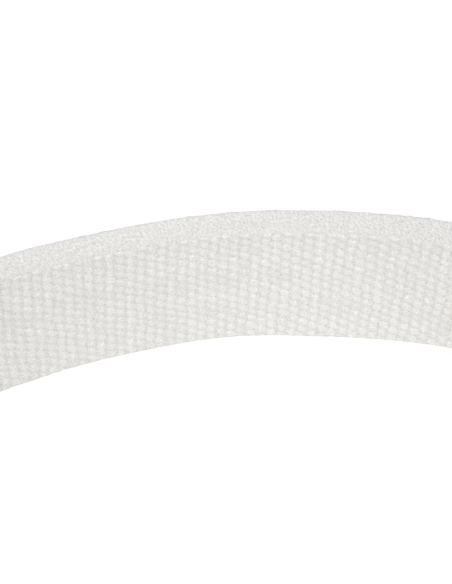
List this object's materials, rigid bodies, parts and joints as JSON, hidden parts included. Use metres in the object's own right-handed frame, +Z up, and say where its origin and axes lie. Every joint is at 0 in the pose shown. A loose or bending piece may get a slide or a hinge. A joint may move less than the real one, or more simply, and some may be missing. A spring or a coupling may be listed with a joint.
{
  "type": "martial arts belt",
  "caption": "White woven fabric belt of heavy tubular webbing, standing on its edge in a roll whose outer turn opens into a wide loop, with stitched square ends.",
  "frame": {"origin": "under the middle of the belt's outline in plan, on the surface that its lower edge stands on", "axes": "+Z up, across the belt's width; +Y towards the back of the open loop; +X towards the side where the belt turns to its free end"},
  "size_m": [0.3012, 0.3206, 0.04],
  "materials": {
    "webbing": "matt off-white cotton webbing in a coarse plain weave",
    "filler": "unbleached cotton filler, not seen",
    "thread": "white sewing thread"
  },
  "bodies": {
    "roll": {"cover_roll": "webbing", "core_roll": "filler", "inner_end_needle_thread_1": "thread", "inner_end_bobbin_thread_1": "thread", "inner_end_needle_thread_2": "thread", "inner_end_bobbin_thread_2": "thread", "inner_end_needle_thread_3": "thread", "inner_end_bobbin_thread_3": "thread"},
    "left_sweep": {"cover_left_sweep": "webbing", "core_left_sweep": "filler"},
    "back_arc": {"cover_back_arc": "webbing", "core_back_arc": "filler"},
    "right_arc": {"cover_right_arc": "webbing", "core_right_arc": "filler"},
    "free_end": {"cover_free_end": "webbing", "core_free_end": "filler", "outer_end_needle_thread_1": "thread", "outer_end_bobbin_thread_1": "thread", "outer_end_needle_thread_2": "thread", "outer_end_bobbin_thread_2": "thread", "outer_end_needle_thread_3": "thread", "outer_end_bobbin_thread_3": "thread"}
  },
  "joints": [
    {"name": "roll_bend", "type": "hinge", "parent": "roll", "child": "left_sweep", "pos_m": [-0.14108, -0.01735, 0.02], "axis": [0, 0, 1], "range_deg": [-8, 20]},
    {"name": "left_bend", "type": "hinge", "parent": "left_sweep", "child": "back_arc", "pos_m": [-0.11456, 0.10674, 0.02], "axis": [0, 0, 1], "range_deg": [-10, 20]},
    {"name": "right_bend", "type": "hinge", "parent": "back_arc", "child": "right_arc", "pos_m": [0.11521, 0.10202, 0.02], "axis": [0, 0, 1], "range_deg": [-10, 20]},
    {"name": "end_bend", "type": "hinge", "parent": "right_arc", "child": "free_end", "pos_m": [0.14165, -0.03631, 0.02], "axis": [0, 0, 1], "range_deg": [-20, 25]}
  ]
}
